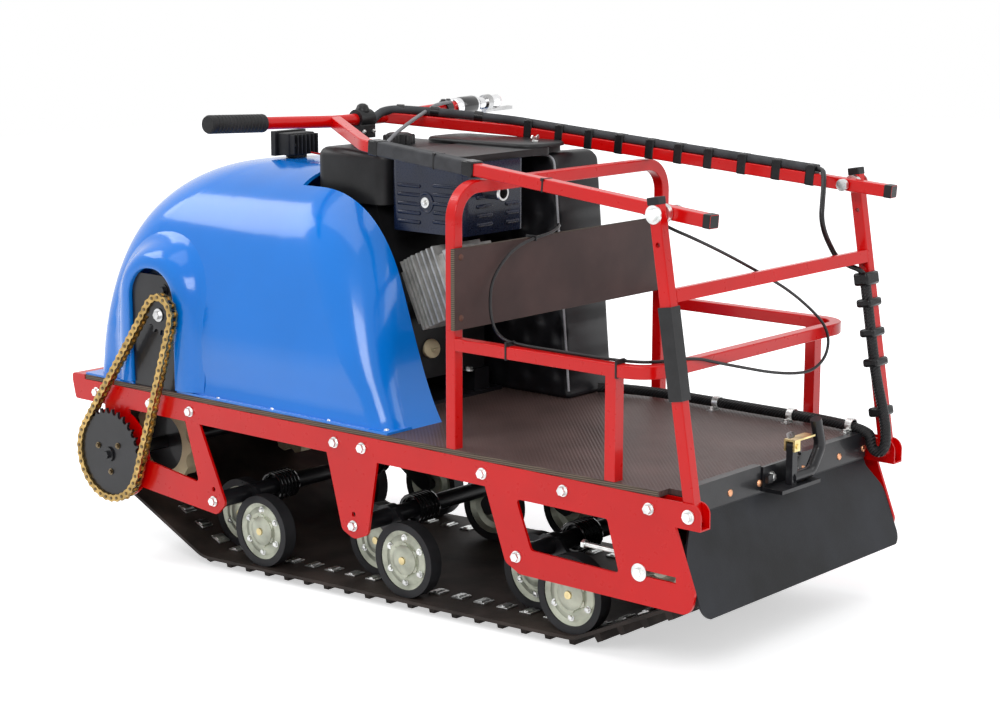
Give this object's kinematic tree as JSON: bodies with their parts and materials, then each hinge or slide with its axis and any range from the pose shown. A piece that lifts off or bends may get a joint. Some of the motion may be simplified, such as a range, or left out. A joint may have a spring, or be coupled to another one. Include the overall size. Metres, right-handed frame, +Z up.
{
  "type": "tracked snow tug",
  "caption": "Walk-behind tracked snow tug: an engine under a moulded hood on a railed deck, over one wide rubber track, steered by a folding handle.",
  "frame": {"origin": "centre of the bounding box at the lowest point of the track", "axes": "+X forward, +Y to the machine's left, +Z up"},
  "size_m": [1.4678, 0.7866, 0.844],
  "materials": {
    "belt_rubber": "matte, worn",
    "black_plastic": "satin",
    "black_rubber": "matte",
    "black_steel": "satin",
    "black_vinyl": "grained",
    "blue_plastic": "gloss",
    "cable_black": "satin",
    "cast_alloy": "cast",
    "chain_gold": "gold-plated steel",
    "cream_plastic": "matte",
    "guard_black": "satin",
    "ply": "satin film-faced plywood",
    "red_paint": "gloss",
    "steel": "plain",
    "tyre_rubber": "matte",
    "yellow_zinc": "yellow zinc plated",
    "zinc": "zinc plated"
  },
  "bodies": {
    "chassis": {"axle_bearings": "black_steel", "back_board": "ply", "bogie_arms": "black_steel", "bogie_springs": "black_steel", "bogie_tubes": "black_steel", "chain_sprockets": "black_steel", "column_pins": "zinc", "cylinder_head": "cast_alloy", "deck_board": "ply", "deck_loom": "cable_black", "drive_axle": "steel", "drive_chain": "chain_gold", "edge_strip": "black_steel", "engine_block": "black_plastic", "engine_mount": "black_steel", "exhaust_stub": "steel", "frame_bolts": "zinc", "front_brackets": "red_paint", "fuel_tank": "black_plastic", "guard_rail": "red_paint", "headlamp": "black_plastic", "hitch_hook": "black_steel", "hood": "blue_plastic", "hoop": "red_paint", "idler_axle": "zinc", "jackshaft": "steel", "jackshaft_plate": "black_steel", "loom_clips": "zinc", "middle_brackets": "red_paint", "mud_flap": "black_rubber", "muffler_guard": "guard_black", "nose_plate": "red_paint", "rail_left": "red_paint", "rail_right": "red_paint", "rear_brackets": "red_paint", "side_cover": "black_vinyl", "sprocket_hubs": "black_steel", "top_shroud": "black_plastic", "track_belt": "belt_rubber", "track_sprockets": "cream_plastic", "track_tensioners": "zinc", "wheel_discs": "zinc", "wheel_tyres": "tyre_rubber"},
    "column": {"column_frame": "red_paint", "upright_sleeve": "cable_black", "handle_pins": "zinc", "column_loom": "cable_black"},
    "handle": {"handle_frame": "red_paint", "left_grip": "black_rubber", "right_control": "black_plastic", "throttle_lever": "steel", "handle_loom": "cable_black", "handle_sleeve": "cable_black"},
    "latch": {"hitch_latch": "yellow_zinc"}
  },
  "joints": [
    {"name": "column_lean", "type": "hinge", "parent": "chassis", "child": "column", "pos_m": [-0.70554, 0.01551, 0.26138], "axis": [0, -1, 0], "range_deg": [0, 35]},
    {"name": "handle_fold", "type": "hinge", "parent": "column", "child": "handle", "pos_m": [-0.64841, 0.01551, 0.70673], "axis": [0, -1, 0], "range_deg": [0, 165]},
    {"name": "latch_open", "type": "hinge", "parent": "chassis", "child": "latch", "pos_m": [-0.70569, 0.02651, 0.31941], "axis": [0.9993, 0, 0.037], "range_deg": [0, 45]}
  ]
}
